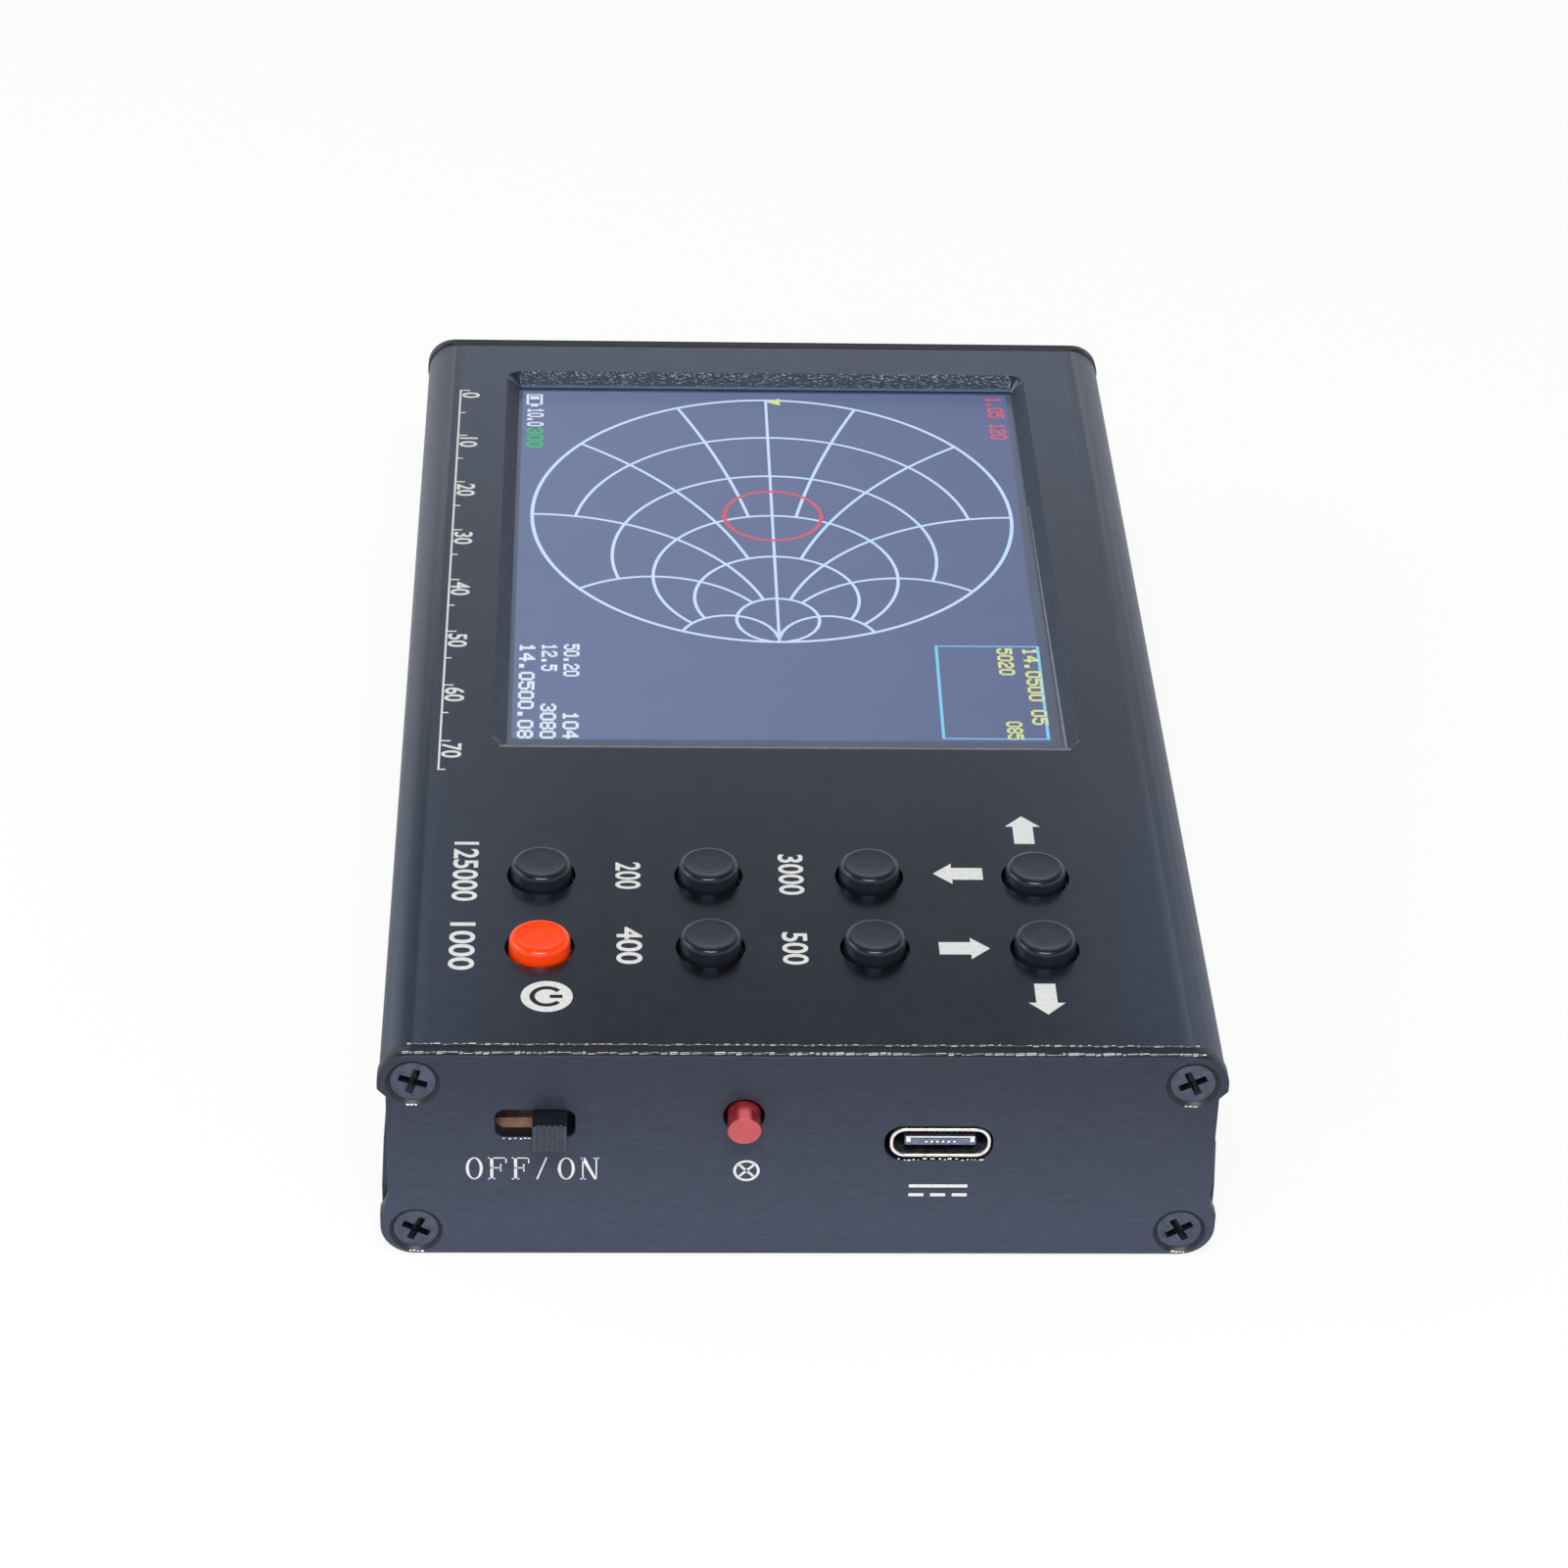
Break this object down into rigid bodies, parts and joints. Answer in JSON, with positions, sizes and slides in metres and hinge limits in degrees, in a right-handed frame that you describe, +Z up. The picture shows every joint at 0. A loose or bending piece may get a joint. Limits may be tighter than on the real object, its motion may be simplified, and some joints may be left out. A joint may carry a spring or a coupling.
{
  "type": "antenna analyzer",
  "caption": "Hand-held antenna analyzer in a split aluminium case with a recessed display, round keys, a slide switch, a charging port and a coaxial port.",
  "frame": {"origin": "centre of the case's flat underside, which it lies on", "axes": "+Z up out of the display, +Y along the case towards the coaxial port, +X to the right seen from the end with the switch and the charging port"},
  "size_m": [0.0746, 0.1443, 0.0235],
  "materials": {
    "case_black": "satin black anodised aluminium extrusion",
    "plate_black": "fine-textured black powder coat on aluminium plate",
    "screw_black": "blackened steel",
    "board_laminate": "green solder mask on glass-epoxy laminate",
    "brass": "machined brass, bright",
    "steel_screw": "nickel-plated steel",
    "black_moulding": "moulded black plastic",
    "tinned_pin": "tinned metal",
    "gold_contact": "gold flash",
    "tinned_sheet": "drawn sheet, nickel-plated",
    "dark_sheet": "dark plated sheet",
    "lcd_frame": "black moulded tray",
    "lcd_glass": "polariser film over glass, lit blue-grey",
    "lcd_backlight": "clear light guide with white film",
    "foam": "double-sided foam tape",
    "flex_amber": "polyimide ribbon",
    "socket_plastic": "ivory moulding",
    "phenolic": "brown phenolic sheet",
    "lamp_red": "red tinted epoxy, frosted",
    "port_plating": "gold-plated brass",
    "ptfe": "white fluoropolymer",
    "cell_pouch": "laminated foil pouch",
    "key_black": "satin black moulded cap",
    "key_orange": "satin orange moulded cap",
    "plunger_plastic": "moulded plastic"
  },
  "bodies": {
    "case": {"battery_cell": "cell_pouch", "battery_pad": "foam", "battery_tabs": "tinned_pin", "board_header": "black_moulding", "board_spacers": "brass", "bottom_shell": "case_black", "display_board": "board_laminate", "display_board_screws": "steel_screw", "front_end_plate": "plate_black", "front_plate_screws": "screw_black", "header_pins": "tinned_pin", "key_snap_domes": "tinned_sheet", "key_switch_bases": "black_moulding", "key_switch_covers": "tinned_sheet", "lamp_leads": "tinned_pin", "lamp_lens": "lamp_red", "lcd_backlight": "lcd_backlight", "lcd_connector": "socket_plastic", "lcd_flex": "flex_amber", "lcd_frame": "lcd_frame", "lcd_glass": "lcd_glass", "lcd_pad": "foam", "main_board": "board_laminate", "main_chips": "black_moulding", "rear_end_plate": "plate_black", "rear_plate_screws": "screw_black", "rf_shield_can": "tinned_sheet", "slide_switch_base": "phenolic", "slide_switch_cover": "dark_sheet", "slide_switch_terminals": "tinned_pin", "sma_body": "port_plating", "sma_contact": "gold_contact", "sma_dielectric": "ptfe", "sma_nut": "port_plating", "sma_washer": "port_plating", "spacer_nuts": "brass", "top_shell": "case_black", "usb_contacts": "gold_contact", "usb_core": "black_moulding", "usb_shell": "tinned_sheet"},
    "slide_switch": {"slide_switch_knob": "black_moulding", "slide_switch_bridge": "tinned_sheet"},
    "key_power": {"key_cap_power": "key_orange", "key_plunger_power": "plunger_plastic"},
    "key_four": {"key_cap_four": "key_black", "key_plunger_four": "plunger_plastic"},
    "key_five": {"key_cap_five": "key_black", "key_plunger_five": "plunger_plastic"},
    "key_arrow_near": {"key_cap_arrow_near": "key_black", "key_plunger_arrow_near": "plunger_plastic"},
    "key_one": {"key_cap_one": "key_black", "key_plunger_one": "plunger_plastic"},
    "key_two": {"key_cap_two": "key_black", "key_plunger_two": "plunger_plastic"},
    "key_three": {"key_cap_three": "key_black", "key_plunger_three": "plunger_plastic"},
    "key_arrow_far": {"key_cap_arrow_far": "key_black", "key_plunger_arrow_far": "plunger_plastic"}
  },
  "joints": [
    {"name": "slide_switch_travel", "type": "slide", "parent": "case", "child": "slide_switch", "axis": [-1, 0, 0], "range_m": [0, 0.0026]},
    {"name": "key_power_press", "type": "slide", "parent": "case", "child": "key_power", "axis": [0, 0, -1], "range_m": [0, 0.0003], "stiffness_N_per_m": 3000, "springref_m": -0.0001},
    {"name": "key_four_press", "type": "slide", "parent": "case", "child": "key_four", "axis": [0, 0, -1], "range_m": [0, 0.0003], "stiffness_N_per_m": 3000, "springref_m": -0.0001},
    {"name": "key_five_press", "type": "slide", "parent": "case", "child": "key_five", "axis": [0, 0, -1], "range_m": [0, 0.0003], "stiffness_N_per_m": 3000, "springref_m": -0.0001},
    {"name": "key_arrow_near_press", "type": "slide", "parent": "case", "child": "key_arrow_near", "axis": [0, 0, -1], "range_m": [0, 0.0003], "stiffness_N_per_m": 3000, "springref_m": -0.0001},
    {"name": "key_one_press", "type": "slide", "parent": "case", "child": "key_one", "axis": [0, 0, -1], "range_m": [0, 0.0003], "stiffness_N_per_m": 3000, "springref_m": -0.0001},
    {"name": "key_two_press", "type": "slide", "parent": "case", "child": "key_two", "axis": [0, 0, -1], "range_m": [0, 0.0003], "stiffness_N_per_m": 3000, "springref_m": -0.0001},
    {"name": "key_three_press", "type": "slide", "parent": "case", "child": "key_three", "axis": [0, 0, -1], "range_m": [0, 0.0003], "stiffness_N_per_m": 3000, "springref_m": -0.0001},
    {"name": "key_arrow_far_press", "type": "slide", "parent": "case", "child": "key_arrow_far", "axis": [0, 0, -1], "range_m": [0, 0.0003], "stiffness_N_per_m": 3000, "springref_m": -0.0001}
  ]
}
